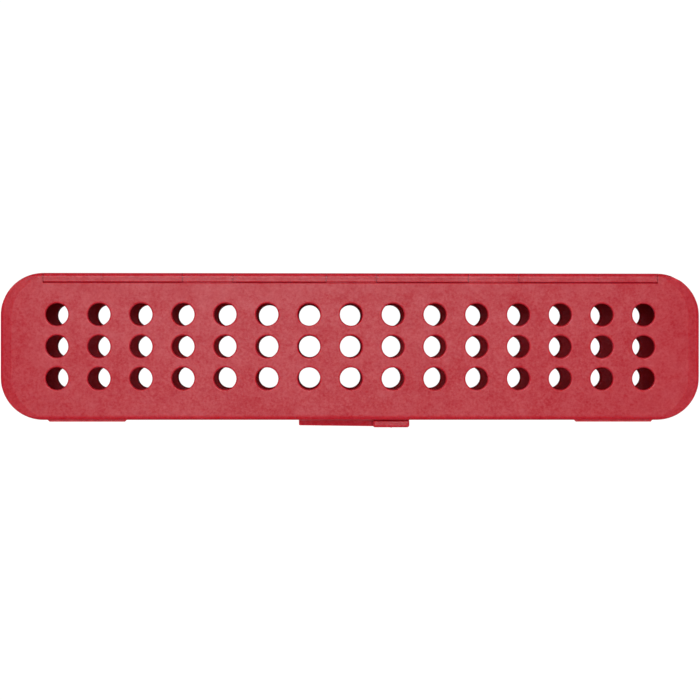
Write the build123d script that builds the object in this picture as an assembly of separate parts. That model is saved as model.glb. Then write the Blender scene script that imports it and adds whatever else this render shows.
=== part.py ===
"""Perforated steriliser case: a deep tray, a hinged lid, a hinge rod and a sliding latch.

Millimetres. X runs along the case, Y from the front (latch) to the rear (hinge), Z is up.
The origin is the centre of the underside, on the surface that the case rests on.
"""
import os

from build123d import *

# Overall size of the closed case
LENGTH = 181.6
WIDTH = 38.1
HEIGHT = 22.2
CORNER_RADIUS = 11.1
FRONT = -WIDTH / 2
REAR = WIDTH / 2
STRAIGHT_HALF = LENGTH / 2 - CORNER_RADIUS

# How far a cutting shape runs past the surface it cuts, and how deep joined shapes overlap
OVERCUT = 1.0
OVERLAP = 0.1
HAIR = 0.01

# Shell thicknesses and the line where lid and tray meet
WALL = 1.8
FLOOR = 1.8
LID_THICKNESS = 2.4
LID_UNDERSIDE = HEIGHT - LID_THICKNESS
PARTING_GAP = 0.15
RIM_HEIGHT = LID_UNDERSIDE - PARTING_GAP
FRONT_WALL_INSIDE = FRONT + WALL

# Moulded roundings
BASE_EDGE_ROUND = 1.4
CAVITY_EDGE_ROUND = 1.6
LID_EDGE_ROUND = 1.2
SMALL_ROUND = 0.25

# The lid's top falls away softly towards its two ends
CROWN_RUN = 11.0
CROWN_DROP = 0.45

# A steeper rim around each end, which fades out along the corners
END_RIM_DROP = 1.0
END_RIM_SLOPE = 0.25
END_RIM_SLACK = 0.05
END_RIM_INSIDE = 6.0
END_RIM_FADE = 4.2

# Steam holes, the same grid in lid and floor; each hole flares towards the inside of the case
HOLE_COLUMNS = 15
HOLE_ROWS = 3
HOLE_PITCH_X = 10.864
HOLE_PITCH_Y = 8.3
HOLE_RADIUS = 2.8
HOLE_FLARE = 0.16
LID_TOP_LIP_ROUND = 0.45
HOLE_LIP_ROUND = 0.3

# Hinge along the straight part of the rear edge
BARREL_RADIUS = 1.2
HINGE_Y = REAR - BARREL_RADIUS
HINGE_Z = HEIGHT - BARREL_RADIUS
ROD_RADIUS = 0.55
ROD_FIT_IN_TRAY = 0.02
ROD_FIT_IN_LID = 0.05
ROD_END = 81.8
ROD_CHAMFER = 0.15
BLIND_BORE_END = 82.0
RAIL_INNER = HINGE_Y - BARREL_RADIUS
RAIL_SHELF_HEIGHT = HEIGHT - 0.02
HINGE_LINE_CHAMFER = 0.25
RAIL_HAUNCH_BOTTOM = 16.2
RAIL_END_GAP = 0.08
HINGE_LINE_GAP = 0.07
NOTCH_EDGE = RAIL_INNER - HINGE_LINE_GAP
NOTCH_CLEARANCE_RADIUS = 1.52
KNUCKLE_WIDTH = 13.0
KNUCKLE_PLACES = (-37.1, 0.1, 37.0)
KNUCKLE_END_GAP = 0.05
NECK_OVERLAP = 0.3
WITNESS_LINE_PLACE = 64.4
WITNESS_LINE_WIDTH = 0.2
WITNESS_LINE_DEPTH = 0.1
WITNESS_LINE_START = HINGE_Y - 0.6

# Finger ledges on the lid's front edge
LEDGE_NEAR = 58.2
LEDGE_FAR = 78.6
LEDGE_REACH = 0.48
LEDGE_ROOT = 0.5
LEDGE_TOP = HEIGHT - LID_EDGE_ROUND

# Locating lip under the lid, along the front and the two ends
LIP_CLEARANCE = 0.4
LIP_THICKNESS = 1.0
LIP_DEPTH = 1.2
LIP_REAR_LIMIT = 6.0
LATCH_WINDOW_MARGIN = 1.0

# Sliding latch on the front wall, drawn in its unlocked place
LATCH_TRAVEL = 6.0
LATCH_BACK = FRONT - 0.08
BAR_LEFT = -13.55
BAR_RIGHT = 15.25
BAR_BOTTOM = 13.0
BAR_TOP = 18.8
BAR_FRONT_LEFT = -20.6
BAR_FRONT_RIGHT = -20.95
BAR_SLOPE_START = -19.35
BAR_SLOPE_END = -21.1
BAR_SLOPE_DROP = 1.0
BAR_CORNER_ROUND = 0.35
PAD_LEFT = 5.75
PAD_BOTTOM = 9.0
PAD_TOP = 20.4
PAD_FRONT = -21.05
PAD_ROUND = 0.6
PAD_REAR_CORNER_ROUND = 0.4
PAD_GROOVES = 6
PAD_GROOVE_PITCH = 1.3
PAD_GROOVE_RADIUS = 0.35
PAD_GROOVE_BOTTOM = 10.2
PAD_GROOVE_TOP = 19.4
CENTRE_RIB_RADIUS = 0.25
CENTRE_RIB_REACH = 0.12
MARK_LEFT = -7.7
MARK_RIGHT = -4.6
MARK_BOTTOM = 14.2
MARK_TOP = 18.1
MARK_REACH = 0.1
MARK_CORNER_ROUND = 0.6

# Stems through the front wall, and the heads that catch the lid's keepers
STEM_PLACES = (-6.0, 8.4)
STEM_WIDTH = 2.0
STEM_BOTTOM = 16.6
STEM_TOP = 18.4
CATCH_ROOT = 0.3
SLOT_CLEARANCE = 0.15
HEAD_WIDTH = 3.4
HEAD_BOTTOM = 16.1
HEAD_TOP = 18.9
HEAD_FRONT = -17.1
HEAD_REAR = -15.3
KEEPER_FRONT = -16.5
KEEPER_REAR = -15.1
KEEPER_BOTTOM = 14.9
FOOT_TOP = 15.9
FOOT_MARGIN = 0.1
POST_WIDTH = 1.8


def block(left, right, front, rear, bottom, top):
    """Box between six planes."""
    solid = Box(right - left, rear - front, top - bottom)
    middle = ((left + right) / 2, (front + rear) / 2, (bottom + top) / 2)
    return Pos(*middle) * solid


def rounded_block(length, width, radius, bottom, top):
    """Upright block with a rounded-rectangle plan."""
    plan = Plane.XY.offset(bottom) * RectangleRounded(length, width, radius)
    return extrude(plan, amount=top - bottom)


def rod_along_x(radius, left, right, y, z):
    """Cylinder whose axis runs along X."""
    solid = Rot(0, 90, 0) * Cylinder(radius, right - left)
    return Pos((left + right) / 2, y, z) * solid


def hinge_cylinder(radius, left, right):
    """Cylinder about the hinge axis."""
    return rod_along_x(radius, left, right, HINGE_Y, HINGE_Z)


def inner_hole_radius(outside, inside):
    """Radius of a hole where it opens on the inner face of a plate."""
    return HOLE_RADIUS + HOLE_FLARE * abs(inside - outside)


def hole_grid(outside, inside):
    """One flared pin for each steam hole, cutting through the plate between its two faces."""
    depth = abs(inside - outside) + 2 * OVERCUT
    narrow = HOLE_RADIUS - HOLE_FLARE * OVERCUT
    wide = inner_hole_radius(outside, inside) + HOLE_FLARE * OVERCUT
    pin = Cone(narrow, wide, depth) if inside > outside else Cone(wide, narrow, depth)
    pin = Pos(0, 0, (outside + inside) / 2) * pin
    places = GridLocations(HOLE_PITCH_X, HOLE_PITCH_Y, HOLE_COLUMNS, HOLE_ROWS)
    return [place * pin for place in places]


def round_hole_lips(solid, level, radius, rounding):
    """Round the circular edges of one radius that the steam holes leave in the plane z = level."""
    rims = [
        edge
        for edge in solid.edges().filter_by(GeomType.CIRCLE)
        if abs(edge.center(CenterOf.BOUNDING_BOX).Z - level) < HAIR
        and abs(edge.radius - radius) < HAIR
    ]
    return fillet(rims, rounding)


def hinge_section(bottom):
    """Section shared by the tray's rail and the lid's knuckles: a barrel with a flat shelf in front."""
    chamfer_y = RAIL_INNER + HINGE_LINE_CHAMFER
    chamfer_z = RAIL_SHELF_HEIGHT - HINGE_LINE_CHAMFER
    shelf = make_face(
        Polyline(
            (RAIL_INNER, bottom),
            (RAIL_INNER, chamfer_z),
            (chamfer_y, RAIL_SHELF_HEIGHT),
            (HINGE_Y, RAIL_SHELF_HEIGHT),
            (HINGE_Y, bottom),
            close=True,
        )
    )
    barrel = Pos(HINGE_Y, HINGE_Z) * Circle(BARREL_RADIUS)
    return Sketch() + shelf + barrel


def hinge_rail():
    """Rail that stands on the tray's rear wall and fills the lid's notch."""
    half = STRAIGHT_HALF - RAIL_END_GAP
    wall_inside = REAR - WALL
    haunch_top = RAIL_HAUNCH_BOTTOM + (wall_inside - RAIL_INNER)
    wall_head = make_face(
        Polyline(
            (wall_inside, RAIL_HAUNCH_BOTTOM),
            (RAIL_INNER, haunch_top),
            (RAIL_INNER, HINGE_Z),
            (REAR, HINGE_Z),
            (REAR, RAIL_HAUNCH_BOTTOM),
            close=True,
        )
    )
    section = hinge_section(haunch_top) + wall_head
    rail = extrude(Plane.YZ * section, amount=half, both=True)
    for place in KNUCKLE_PLACES:
        reach = KNUCKLE_WIDTH / 2 + KNUCKLE_END_GAP
        rail -= block(
            place - reach,
            place + reach,
            RAIL_INNER - OVERCUT,
            REAR + OVERCUT,
            RIM_HEIGHT,
            HEIGHT + OVERCUT,
        )
    for side in (-1, 1):
        rail -= witness_line(side * WITNESS_LINE_PLACE)
    return rail


def witness_line(middle):
    """Fine groove over the top and back of the rail's barrel."""
    left = middle - WITNESS_LINE_WIDTH / 2
    right = middle + WITNESS_LINE_WIDTH / 2
    ring = hinge_cylinder(BARREL_RADIUS + OVERCUT, left, right)
    ring -= hinge_cylinder(BARREL_RADIUS - WITNESS_LINE_DEPTH, left - OVERCUT, right + OVERCUT)
    return ring & block(left, right, WITNESS_LINE_START, REAR + OVERCUT, HINGE_Z, HEIGHT + OVERCUT)


def latch_slots():
    """Two slots in the front wall that the latch's stems slide along."""
    slots = []
    for place in STEM_PLACES:
        left = place - STEM_WIDTH / 2 - LATCH_TRAVEL - SLOT_CLEARANCE
        right = place + STEM_WIDTH / 2 + SLOT_CLEARANCE
        slots.append(
            block(
                left,
                right,
                FRONT - OVERCUT,
                FRONT_WALL_INSIDE + OVERCUT,
                STEM_BOTTOM - SLOT_CLEARANCE,
                STEM_TOP + SLOT_CLEARANCE,
            )
        )
    return slots


def base_shell():
    """Deep perforated tray with the hinge rail along its rear wall."""
    tray = rounded_block(LENGTH, WIDTH, CORNER_RADIUS, 0, RIM_HEIGHT)
    tray = fillet(tray.edges().group_by(Axis.Z)[0], BASE_EDGE_ROUND)
    cavity = rounded_block(
        LENGTH - 2 * WALL, WIDTH - 2 * WALL, CORNER_RADIUS - WALL, FLOOR, RIM_HEIGHT + OVERCUT
    )
    cavity = fillet(cavity.edges().group_by(Axis.Z)[0], CAVITY_EDGE_ROUND)
    tray -= cavity
    tray = fillet(tray.faces().sort_by(Axis.Z)[-1].edges(), SMALL_ROUND)
    tray -= hole_grid(0, FLOOR)
    tray = round_hole_lips(tray, 0, HOLE_RADIUS, HOLE_LIP_ROUND)
    tray = round_hole_lips(tray, FLOOR, inner_hole_radius(0, FLOOR), HOLE_LIP_ROUND)
    tray += hinge_rail()
    tray -= hinge_cylinder(ROD_RADIUS + ROD_FIT_IN_TRAY, -LENGTH, LENGTH)
    tray -= latch_slots()
    return tray


def end_rim_limit():
    """Block that the lid has to stay inside: it slopes down to a rounded edge at the lid's ends."""
    edge_level = HEIGHT - END_RIM_DROP
    rings = []
    for inset in (0, END_RIM_INSIDE):
        length = LENGTH + 2 * (END_RIM_SLACK - inset)
        width = WIDTH + 2 * (END_RIM_FADE - inset)
        radius = CORNER_RADIUS + END_RIM_FADE - inset
        level = edge_level + inset * END_RIM_SLOPE
        rings.append(Plane.XY.offset(level) * RectangleRounded(length, width, radius))
    limit = extrude(rings[0], amount=-(edge_level - LID_UNDERSIDE + OVERCUT)) + loft(rings, ruled=True)
    edges = [edge for edge in limit.edges() if abs(edge.center().Z - edge_level) < HAIR]
    return fillet(edges, LID_EDGE_ROUND)


def lid_blank():
    """Lid plate with soft ends and a rounded top edge, before the notch and holes are cut."""
    plate = rounded_block(LENGTH, WIDTH, CORNER_RADIUS, LID_UNDERSIDE, HEIGHT)
    end = LENGTH / 2
    crown_start = end - CROWN_RUN
    crown_end = HEIGHT - CROWN_DROP
    right_end = TangentArc((crown_start, HEIGHT), (end, crown_end), tangent=(1, 0))
    left_end = TangentArc((-crown_start, HEIGHT), (-end, crown_end), tangent=(-1, 0))
    outline = [
        left_end,
        Line((-crown_start, HEIGHT), (crown_start, HEIGHT)),
        right_end,
        Line((end, crown_end), (end, LID_UNDERSIDE)),
        Line((end, LID_UNDERSIDE), (-end, LID_UNDERSIDE)),
        Line((-end, LID_UNDERSIDE), (-end, crown_end)),
    ]
    side_view = Plane.XZ * make_face(outline)
    plate &= extrude(side_view, amount=WIDTH, both=True)
    upright = plate.faces().filter_by(lambda face: abs(face.normal_at().Z) < HAIR)
    mid_height = (LID_UNDERSIDE + HEIGHT) / 2
    edges = [edge for face in upright for edge in face.edges()]
    top_edges = [
        edge for edge in edges if edge.center().Z > mid_height and abs(edge.tangent_at(0.5).Z) < 0.9
    ]
    plate = fillet(top_edges, LID_EDGE_ROUND) & end_rim_limit()
    bottom_edges = plate.faces().sort_by(Axis.Z)[0].edges()
    return fillet(bottom_edges, SMALL_ROUND)


def notch_cuts():
    """What is cut from the lid's rear edge for the hinge: the notch, its sloping lip and its undercut."""
    slope = make_face(
        Polyline(
            (NOTCH_EDGE - HINGE_LINE_CHAMFER, HEIGHT),
            (NOTCH_EDGE, HEIGHT - HINGE_LINE_CHAMFER),
            (NOTCH_EDGE + OVERLAP, HEIGHT - HINGE_LINE_CHAMFER),
            (NOTCH_EDGE + OVERLAP, HEIGHT + OVERLAP),
            (NOTCH_EDGE - HINGE_LINE_CHAMFER, HEIGHT + OVERLAP),
            close=True,
        )
    )
    return [
        block(
            -STRAIGHT_HALF,
            STRAIGHT_HALF,
            NOTCH_EDGE,
            REAR + OVERCUT,
            LID_UNDERSIDE - OVERCUT,
            HEIGHT + OVERCUT,
        ),
        extrude(Plane.YZ * slope, amount=STRAIGHT_HALF, both=True),
        hinge_cylinder(NOTCH_CLEARANCE_RADIUS, -STRAIGHT_HALF, STRAIGHT_HALF),
    ]


def lid_knuckles():
    """Three knuckles, each a stretch of the hinge section joined to the plate by a grooved neck."""
    section = hinge_section(LID_UNDERSIDE)
    neck_front = HINGE_Y - NOTCH_CLEARANCE_RADIUS - NECK_OVERLAP
    neck_top = RAIL_SHELF_HEIGHT - HINGE_LINE_CHAMFER
    neck = make_face(
        Polyline(
            (neck_front, LID_UNDERSIDE),
            (neck_front, neck_top),
            (RAIL_INNER + HAIR, neck_top),
            (RAIL_INNER + HAIR, LID_UNDERSIDE),
            close=True,
        )
    )
    strip = extrude(Plane.YZ * (section + neck), amount=KNUCKLE_WIDTH / 2, both=True)
    return [Pos(place, 0, 0) * strip for place in KNUCKLE_PLACES]


def ear_roundings():
    """What is cut below and behind the hinge axis so that the lid's rear corners can turn."""
    cuts = []
    for side in (-1, 1):
        left, right = sorted((side * STRAIGHT_HALF, side * LENGTH / 2))
        corner = block(left, right, HINGE_Y, REAR + OVERCUT, LID_UNDERSIDE - OVERCUT, HINGE_Z)
        cuts.append(corner - hinge_cylinder(BARREL_RADIUS, left - OVERCUT, right + OVERCUT))
    return cuts


def finger_ledges():
    """Two shallow ledges with slanted ends on the lid's front edge."""
    ledges = []
    for side in (-1, 1):
        plan = make_face(
            Polyline(
                (side * LEDGE_NEAR, FRONT + LEDGE_ROOT),
                (side * LEDGE_FAR, FRONT + LEDGE_ROOT),
                (side * LEDGE_FAR, FRONT),
                (side * (LEDGE_FAR - LEDGE_REACH), FRONT - LEDGE_REACH),
                (side * (LEDGE_NEAR + LEDGE_REACH), FRONT - LEDGE_REACH),
                (side * LEDGE_NEAR, FRONT),
                close=True,
            )
        )
        bottom = LID_UNDERSIDE + SMALL_ROUND
        ledges.append(extrude(Plane.XY.offset(bottom) * plan, amount=LEDGE_TOP - bottom, dir=(0, 0, 1)))
    return ledges


def locating_lip():
    """Lip under the lid that drops just inside the tray's front and end walls."""
    inset = 2 * (WALL + LIP_CLEARANCE)
    radius = CORNER_RADIUS - WALL - LIP_CLEARANCE
    bottom = LID_UNDERSIDE - LIP_DEPTH
    top = LID_UNDERSIDE + OVERLAP
    lip = rounded_block(LENGTH - inset, WIDTH - inset, radius, bottom, top)
    inner = inset + 2 * LIP_THICKNESS
    cut_bottom = bottom - OVERCUT
    cut_top = top + OVERCUT
    lip -= rounded_block(LENGTH - inner, WIDTH - inner, radius - LIP_THICKNESS, cut_bottom, cut_top)
    lip -= block(-LENGTH, LENGTH, LIP_REAR_LIMIT, REAR, cut_bottom, cut_top)
    window_left = keeper_post_left(STEM_PLACES[0]) - LATCH_WINDOW_MARGIN
    window_right = STEM_PLACES[-1] + HEAD_WIDTH / 2 + LATCH_WINDOW_MARGIN
    lip -= block(window_left, window_right, FRONT, 0, cut_bottom, cut_top)
    return lip


def keeper_foot_left(stem_place):
    """Left end of the foot that a latch head covers when it is locked."""
    return stem_place - LATCH_TRAVEL - HEAD_WIDTH / 2 - FOOT_MARGIN


def keeper_post_left(stem_place):
    """Left face of a keeper's post."""
    return keeper_foot_left(stem_place) - POST_WIDTH


def keepers():
    """L-shaped keepers under the lid: a post, and a foot that a latch head slides over."""
    shapes = []
    post_top = LID_UNDERSIDE + OVERLAP
    for place in STEM_PLACES:
        left = keeper_post_left(place)
        foot_right = keeper_foot_left(place) + HEAD_WIDTH + 2 * FOOT_MARGIN
        post = block(left, left + POST_WIDTH, KEEPER_FRONT, KEEPER_REAR, KEEPER_BOTTOM, post_top)
        foot = block(left, foot_right, KEEPER_FRONT, KEEPER_REAR, KEEPER_BOTTOM, FOOT_TOP)
        shapes.append(post + foot)
    return shapes


def lid_shell():
    """Perforated lid plate with its hinge knuckles, ledges, locating lip and keepers."""
    lid = lid_blank()
    lid -= notch_cuts()
    lid += lid_knuckles()
    lid -= ear_roundings()
    lid -= hinge_cylinder(ROD_RADIUS + ROD_FIT_IN_LID, -BLIND_BORE_END, LENGTH)
    lid -= hole_grid(HEIGHT, LID_UNDERSIDE)
    lid = round_hole_lips(lid, HEIGHT, HOLE_RADIUS, LID_TOP_LIP_ROUND)
    lid = round_hole_lips(lid, LID_UNDERSIDE, inner_hole_radius(HEIGHT, LID_UNDERSIDE), HOLE_LIP_ROUND)
    lid += finger_ledges()
    lid += locating_lip()
    lid += keepers()
    return lid


def hinge_rod():
    """Steel rod that the lid turns on, with lightly chamfered ends."""
    rod = hinge_cylinder(ROD_RADIUS, -ROD_END, ROD_END)
    return chamfer(rod.edges().filter_by(GeomType.CIRCLE), ROD_CHAMFER)


def bar_slope():
    """What is cut from the bar so that its top slopes down to the front."""
    section = make_face(
        Polyline(
            (BAR_SLOPE_START, BAR_TOP),
            (BAR_SLOPE_END, BAR_TOP - BAR_SLOPE_DROP),
            (BAR_SLOPE_END, BAR_TOP + OVERCUT),
            (BAR_SLOPE_START, BAR_TOP + OVERCUT),
            close=True,
        )
    )
    return extrude(Plane.YZ * section, amount=BAR_RIGHT + OVERCUT, both=True)


def latch_bar():
    """Slightly tapered bar with a sloping top and a small raised mark."""
    plan = make_face(
        Polyline(
            (BAR_LEFT, LATCH_BACK),
            (BAR_RIGHT, LATCH_BACK),
            (BAR_RIGHT, BAR_FRONT_RIGHT),
            (BAR_LEFT, BAR_FRONT_LEFT),
            close=True,
        )
    )
    bar = extrude(Plane.XY.offset(BAR_BOTTOM) * plan, amount=BAR_TOP - BAR_BOTTOM, dir=(0, 0, 1))
    upright = bar.edges().filter_by(Axis.Z).sort_by(Axis.Y)[:2]
    bar = fillet(upright, BAR_CORNER_ROUND)
    bottom_front = bar.faces().sort_by(Axis.Z)[0].edges().sort_by(Axis.Y)[:3]
    bar = fillet(bottom_front, BAR_CORNER_ROUND)
    bar -= bar_slope()
    mark_front = BAR_FRONT_LEFT - MARK_REACH
    mark = block(MARK_LEFT, MARK_RIGHT, mark_front, LATCH_BACK, MARK_BOTTOM, MARK_TOP)
    mark = fillet(mark.edges().filter_by(Axis.Y), MARK_CORNER_ROUND)
    return bar + mark


def thumb_pad():
    """Taller pad at the right end of the latch, grooved for grip."""
    pad = block(PAD_LEFT, BAR_RIGHT, PAD_FRONT, LATCH_BACK, PAD_BOTTOM, PAD_TOP)
    rear_corner = pad.edges().filter_by(Axis.Z).group_by(Axis.X)[-1].sort_by(Axis.Y)[-1]
    pad = fillet(rear_corner, PAD_REAR_CORNER_ROUND)
    front = pad.faces().sort_by(Axis.Y)[0].edges()
    sides_of_top = pad.faces().sort_by(Axis.Z)[-1].edges().filter_by(Axis.Y)
    pad = fillet(front + sides_of_top, PAD_ROUND)
    middle = (PAD_LEFT + BAR_RIGHT) / 2
    groove_middle = (PAD_GROOVE_BOTTOM + PAD_GROOVE_TOP) / 2
    groove = Cylinder(PAD_GROOVE_RADIUS, PAD_GROOVE_TOP - PAD_GROOVE_BOTTOM)
    for count in range(PAD_GROOVES):
        offset = (count - (PAD_GROOVES - 1) / 2) * PAD_GROOVE_PITCH
        pad -= Pos(middle + offset, PAD_FRONT, groove_middle) * groove
    rib_middle = (PAD_BOTTOM + PAD_TOP) / 2
    rib = Cylinder(CENTRE_RIB_RADIUS, PAD_TOP - PAD_BOTTOM - 2 * PAD_ROUND)
    rib_y = PAD_FRONT + CENTRE_RIB_RADIUS - CENTRE_RIB_REACH
    return pad + Pos(middle, rib_y, rib_middle) * rib


def latch_catches():
    """Stems that run in the front wall's slots, and the heads behind the wall."""
    catches = []
    for place in STEM_PLACES:
        stem_half = STEM_WIDTH / 2
        head_half = HEAD_WIDTH / 2
        stem = block(
            place - stem_half,
            place + stem_half,
            LATCH_BACK - CATCH_ROOT,
            HEAD_FRONT + CATCH_ROOT,
            STEM_BOTTOM,
            STEM_TOP,
        )
        head = block(place - head_half, place + head_half, HEAD_FRONT, HEAD_REAR, HEAD_BOTTOM, HEAD_TOP)
        head = fillet(head.edges().filter_by(Axis.Z), SMALL_ROUND)
        catches.append(stem + head)
    return catches


def slide_latch():
    """Latch with its bar, thumb pad, stems and heads."""
    return latch_bar() + thumb_pad() + latch_catches()


def main():
    os.makedirs("parts", exist_ok=True)
    nodes = {
        "base_shell": base_shell(),
        "lid_shell": lid_shell(),
        "hinge_rod": hinge_rod(),
        "slide_latch": slide_latch(),
    }
    for name, solid in nodes.items():
        export_step(solid, f"parts/{name}.step")


main()
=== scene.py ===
"""Studio scene of the perforated steriliser case: materials, soft light, pale floor and camera."""
import math

import bpy
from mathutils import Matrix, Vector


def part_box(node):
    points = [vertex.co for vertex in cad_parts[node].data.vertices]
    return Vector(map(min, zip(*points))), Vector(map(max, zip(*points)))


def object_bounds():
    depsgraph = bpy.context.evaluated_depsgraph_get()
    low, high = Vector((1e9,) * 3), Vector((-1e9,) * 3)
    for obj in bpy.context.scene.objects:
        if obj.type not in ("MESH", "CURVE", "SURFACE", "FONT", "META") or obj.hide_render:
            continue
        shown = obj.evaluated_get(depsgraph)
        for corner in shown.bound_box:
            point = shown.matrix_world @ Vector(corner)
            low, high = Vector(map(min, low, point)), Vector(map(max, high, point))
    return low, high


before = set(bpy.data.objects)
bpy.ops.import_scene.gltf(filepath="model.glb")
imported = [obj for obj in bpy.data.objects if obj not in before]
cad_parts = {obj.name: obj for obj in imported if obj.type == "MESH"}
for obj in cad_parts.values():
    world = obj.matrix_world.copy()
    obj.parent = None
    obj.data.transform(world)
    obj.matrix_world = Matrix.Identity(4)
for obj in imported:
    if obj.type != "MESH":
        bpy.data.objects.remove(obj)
cad_low, cad_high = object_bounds()

MM = 0.001
LID_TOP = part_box("lid_shell")[1].z

# Camera: place beside the case's middle, height above the lid, and tilt about X, Y and Z in radians
CAMERA_X = -7.95 * MM
CAMERA_Y = 0.43 * MM
CAMERA_ABOVE_LID = 457 * MM
CAMERA_TILT = (-0.0029, -0.0168, 0.0006)
FOCAL_LENGTH = 90.69
SENSOR_WIDTH = 36.0

# Linear colours, and the strength at which floor and surround show as white to the camera
RED_PALE = (0.495, 0.0135, 0.030)
RED_DEEP = (0.395, 0.007, 0.018)
STEEL = (0.60, 0.60, 0.61)
FLOOR_WHITE = (0.86, 0.86, 0.86)
FLOOR_MIRRORED = (0.1, 0.1, 0.1)
FLOOR_ROUGHNESS = 0.9
FLOOR_SIZE = 6.0
FLOOR_GAP = 0.02 * MM
CAMERA_WHITE = 1.05

# The stretch of a noise texture's output that is spread over the whole of a range
NOISE_SPREAD = (0.3, 0.7)

# Plastic: roughness, light scattered below the surface, and refraction
SATIN = (0.28, 0.38)
SCATTER_WEIGHT = 1.0
SCATTER_COLOUR = (1.0, 0.12, 0.12)
SCATTER_DEPTH = 2.0 * MM
PLASTIC_IOR = 1.5

# Plastic: scale (features per metre), detail and roughness of each noise
MOTTLE = (110, 5, 1.0)
SPECKLE = (1300, 2, 0.7)
GRAIN = (3200, 2, 0.6)

# Plastic: how far mottle and speckle change the colour, the sheen and the surface
CLOUD_COLOUR = (0.0, 0.6)
DOT_COLOUR = (0.0, 0.4)
CLOUD_SHEEN = (0.0, 0.53)
DOT_SHEEN = (0.10, 0.42)
SPECKLE_BUMP = (0.25, 0.05 * MM)
GRAIN_BUMP = (0.3, 0.02 * MM)

# The tray's inside is duller than its outside, below this height
INSIDE_TOP = 19.7 * MM
INSIDE_BLEND = 2 * MM
INSIDE_SHEEN = 0.4

# Steel: drawing lines along X
LINE_STRETCH = (0.05, 1.0, 1.0)
LINE_SCALE = 6000
LINE_DETAIL = 2
STEEL_ROUGHNESS = (0.25, 0.4)
LINE_BUMP = (0.2, 0.01 * MM)

# Lights: powers in watts, sizes and places in metres
LIGHT_AIM = (0, 0, 0)
WORLD_STRENGTH = 0.60
WORLD_MIRRORED = 0.15
WIDE_POWER = 10.5
WIDE_LENGTH = 2.6
WIDE_DEPTH = 2.2
WIDE_PLACE = (0, 0, 1.2)
KEY_POWER = 2.5
KEY_SIZE = 0.50
KEY_PLACE = (-0.04, 0.28, 1.1)
STRIP_POWER = 1.0
STRIP_LENGTH = 0.9
STRIP_DEPTH = 0.14
STRIP_PLACE = (-0.10, 0.62, 1.1)


def new_material(name):
    """Node material with a plain Principled shader; returns material, nodes, links and shader."""
    material = bpy.data.materials.new(name)
    material.use_nodes = True
    nodes = material.node_tree.nodes
    links = material.node_tree.links
    return material, nodes, links, nodes["Principled BSDF"]


def noise(nodes, links, coordinates, settings):
    """Noise texture in object space, from its scale, detail and roughness."""
    scale, detail, roughness = settings
    texture = nodes.new("ShaderNodeTexNoise")
    texture.inputs["Scale"].default_value = scale
    texture.inputs["Detail"].default_value = detail
    texture.inputs["Roughness"].default_value = roughness
    links.new(coordinates.outputs["Object"], texture.inputs["Vector"])
    return texture.outputs["Fac"]


def remap(nodes, links, source, from_range, to_range):
    """Map a grey output from one range to another, clamped."""
    mapper = nodes.new("ShaderNodeMapRange")
    mapper.inputs["From Min"].default_value = from_range[0]
    mapper.inputs["From Max"].default_value = from_range[1]
    mapper.inputs["To Min"].default_value = to_range[0]
    mapper.inputs["To Max"].default_value = to_range[1]
    links.new(source, mapper.inputs["Value"])
    return mapper.outputs["Result"]


def mix_colours(nodes, links, factor, first, second):
    """Mix two colours by a grey output."""
    mixer = nodes.new("ShaderNodeMix")
    mixer.data_type = "RGBA"
    links.new(factor, mixer.inputs["Factor"])
    first_colour, second_colour = [socket for socket in mixer.inputs if socket.type == "RGBA"]
    first_colour.default_value = (*first, 1.0)
    second_colour.default_value = (*second, 1.0)
    return [socket for socket in mixer.outputs if socket.type == "RGBA"][0]


def bump(nodes, links, height, settings, below=None):
    """Bump from a height output, with a strength and distance, stacked on another bump if given."""
    strength, distance = settings
    node = nodes.new("ShaderNodeBump")
    node.inputs["Strength"].default_value = strength
    node.inputs["Distance"].default_value = distance
    links.new(height, node.inputs["Height"])
    if below is not None:
        links.new(below, node.inputs["Normal"])
    return node.outputs["Normal"]


def calculate(nodes, links, operation, first, second):
    """Sum or product of two grey outputs."""
    node = nodes.new("ShaderNodeMath")
    node.operation = operation
    links.new(first, node.inputs[0])
    links.new(second, node.inputs[1])
    return node.outputs["Value"]


def height_ramp(nodes, links, coordinates, low, high, low_value):
    """Grey output that rises with height from low_value to one."""
    parts = nodes.new("ShaderNodeSeparateXYZ")
    links.new(coordinates.outputs["Object"], parts.inputs["Vector"])
    return remap(nodes, links, parts.outputs["Z"], (low, high), (low_value, 1.0))


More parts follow.
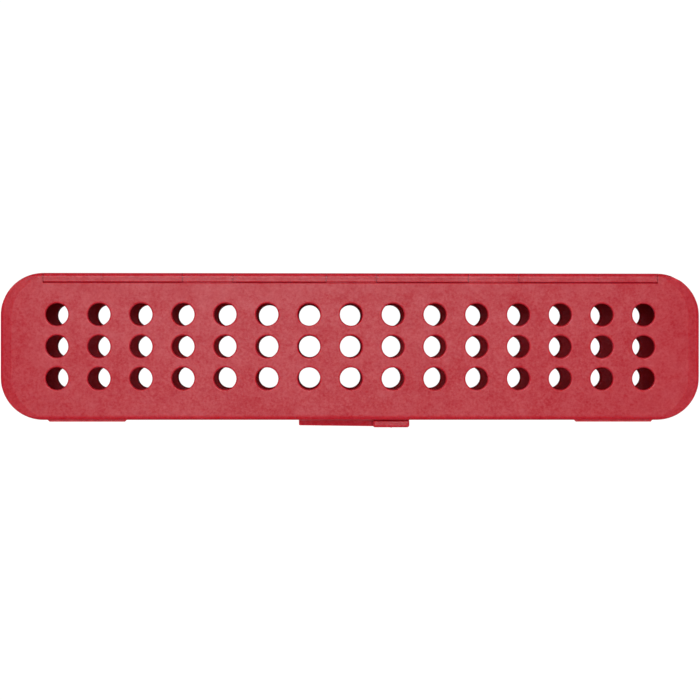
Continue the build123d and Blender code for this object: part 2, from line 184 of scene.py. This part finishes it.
def moulded_plastic(name, dull_inside):
    """Satin moulded plastic: mottled colour and sheen, fine spark-eroded grain."""
    material, nodes, links, shader = new_material(name)
    coordinates = nodes.new("ShaderNodeTexCoord")
    mottle = noise(nodes, links, coordinates, MOTTLE)
    speckle = noise(nodes, links, coordinates, SPECKLE)
    grain = noise(nodes, links, coordinates, GRAIN)

    clouds = remap(nodes, links, mottle, NOISE_SPREAD, CLOUD_COLOUR)
    dots = remap(nodes, links, speckle, NOISE_SPREAD, DOT_COLOUR)
    paleness = calculate(nodes, links, "ADD", clouds, dots)
    colour = mix_colours(nodes, links, paleness, RED_DEEP, RED_PALE)
    links.new(colour, shader.inputs["Base Color"])

    cloud_sheen = remap(nodes, links, mottle, NOISE_SPREAD, CLOUD_SHEEN)
    dot_sheen = remap(nodes, links, speckle, NOISE_SPREAD, DOT_SHEEN)
    sheen = calculate(nodes, links, "ADD", cloud_sheen, dot_sheen)
    if dull_inside:
        blend_bottom = INSIDE_TOP - INSIDE_BLEND
        ramp = height_ramp(nodes, links, coordinates, blend_bottom, INSIDE_TOP, INSIDE_SHEEN)
        sheen = calculate(nodes, links, "MULTIPLY", sheen, ramp)
    links.new(sheen, shader.inputs["Specular IOR Level"])

    links.new(remap(nodes, links, speckle, NOISE_SPREAD, SATIN), shader.inputs["Roughness"])
    coarse = bump(nodes, links, speckle, SPECKLE_BUMP)
    fine = bump(nodes, links, grain, GRAIN_BUMP, coarse)
    links.new(fine, shader.inputs["Normal"])

    shader.inputs["IOR"].default_value = PLASTIC_IOR
    shader.inputs["Subsurface Weight"].default_value = SCATTER_WEIGHT
    shader.inputs["Subsurface Radius"].default_value = SCATTER_COLOUR
    shader.inputs["Subsurface Scale"].default_value = SCATTER_DEPTH
    return material


def drawn_steel(name):
    """Bright drawn wire with fine lines along its length."""
    material, nodes, links, shader = new_material(name)
    coordinates = nodes.new("ShaderNodeTexCoord")
    stretch = nodes.new("ShaderNodeMapping")
    stretch.inputs["Scale"].default_value = LINE_STRETCH
    links.new(coordinates.outputs["Object"], stretch.inputs["Vector"])
    lines = nodes.new("ShaderNodeTexNoise")
    lines.inputs["Scale"].default_value = LINE_SCALE
    lines.inputs["Detail"].default_value = LINE_DETAIL
    links.new(stretch.outputs["Vector"], lines.inputs["Vector"])
    gloss = remap(nodes, links, lines.outputs["Fac"], NOISE_SPREAD, STEEL_ROUGHNESS)
    links.new(gloss, shader.inputs["Roughness"])
    links.new(bump(nodes, links, lines.outputs["Fac"], LINE_BUMP), shader.inputs["Normal"])
    shader.inputs["Base Color"].default_value = (*STEEL, 1.0)
    shader.inputs["Metallic"].default_value = 1.0
    return material


def dress(node, material):
    """Give a CAD node its material."""
    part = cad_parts[node]
    part.data.materials.clear()
    part.data.materials.append(material)


def make_floor():
    """Plain floor that shows white, lights the case like paper and looks dark in its reflections."""
    bpy.ops.mesh.primitive_plane_add(size=FLOOR_SIZE, location=(0, 0, cad_low.z - FLOOR_GAP))
    floor = bpy.context.object
    floor.name = "studio_floor"
    material, nodes, links, shader = new_material("floor_white")
    shader.inputs["Roughness"].default_value = FLOOR_ROUGHNESS
    path = nodes.new("ShaderNodeLightPath")
    colour = mix_colours(nodes, links, path.outputs["Is Glossy Ray"], FLOOR_WHITE, FLOOR_MIRRORED)
    links.new(colour, shader.inputs["Base Color"])
    glow = nodes.new("ShaderNodeEmission")
    glow.inputs["Strength"].default_value = CAMERA_WHITE
    mixer = nodes.new("ShaderNodeMixShader")
    links.new(path.outputs["Is Camera Ray"], mixer.inputs["Fac"])
    links.new(shader.outputs["BSDF"], mixer.inputs[1])
    links.new(glow.outputs["Emission"], mixer.inputs[2])
    links.new(mixer.outputs["Shader"], nodes["Material Output"].inputs["Surface"])
    floor.data.materials.append(material)


def area_light(name, place, length, depth, power):
    """White rectangular soft box at place, facing the case."""
    lamp = bpy.data.lights.new(name, "AREA")
    lamp.shape = "RECTANGLE"
    lamp.size = length
    lamp.size_y = depth
    lamp.energy = power
    box = bpy.data.objects.new(name, lamp)
    bpy.context.scene.collection.objects.link(box)
    box.location = place
    across, along, down = [target - start for target, start in zip(LIGHT_AIM, place)]
    pitch = math.atan2(math.hypot(across, along), -down)
    turn = math.atan2(across, -along) + math.pi
    box.rotation_euler = (pitch, 0, turn)


def make_surround():
    """Even surround that shows white and looks dim in the case's reflections."""
    world = bpy.data.worlds.new("surround")
    bpy.context.scene.world = world
    world.use_nodes = True
    nodes = world.node_tree.nodes
    links = world.node_tree.links
    background = nodes["Background"]
    background.inputs["Color"].default_value = (1.0, 1.0, 1.0, 1.0)
    path = nodes.new("ShaderNodeLightPath")
    mirrored = path.outputs["Is Glossy Ray"]
    seen = path.outputs["Is Camera Ray"]
    strength = remap(nodes, links, mirrored, (0.0, 1.0), (WORLD_STRENGTH, WORLD_MIRRORED))
    lift = remap(nodes, links, seen, (0.0, 1.0), (0.0, CAMERA_WHITE - WORLD_STRENGTH))
    total = calculate(nodes, links, "ADD", strength, lift)
    links.new(total, background.inputs["Strength"])


def make_lights():
    """A wide and a small soft box overhead, and a strip behind the hinge."""
    area_light("overhead_wide", WIDE_PLACE, WIDE_LENGTH, WIDE_DEPTH, WIDE_POWER)
    area_light("overhead_key", KEY_PLACE, KEY_SIZE, KEY_SIZE, KEY_POWER)
    area_light("rear_strip", STRIP_PLACE, STRIP_LENGTH, STRIP_DEPTH, STRIP_POWER)


def make_camera():
    """Camera above the case, a little left of its middle and tilted one degree to look at it."""
    lens = bpy.data.cameras.new("camera")
    lens.sensor_width = SENSOR_WIDTH
    lens.lens = FOCAL_LENGTH
    lens.clip_start = 10 * MM
    camera = bpy.data.objects.new("camera", lens)
    bpy.context.scene.collection.objects.link(camera)
    camera.location = (CAMERA_X, CAMERA_Y, LID_TOP + CAMERA_ABOVE_LID)
    camera.rotation_euler = CAMERA_TILT
    bpy.context.scene.camera = camera


def set_view():
    """Plain colour rendering, so that white stays white."""
    view = bpy.context.scene.view_settings
    view.view_transform = "Standard"
    view.look = "None"


dress("base_shell", moulded_plastic("red_plastic_base", True))
dress("lid_shell", moulded_plastic("red_plastic_lid", False))
dress("slide_latch", moulded_plastic("red_plastic_latch", False))
dress("hinge_rod", drawn_steel("steel_rod"))
make_floor()
make_lights()
make_surround()
make_camera()
set_view()
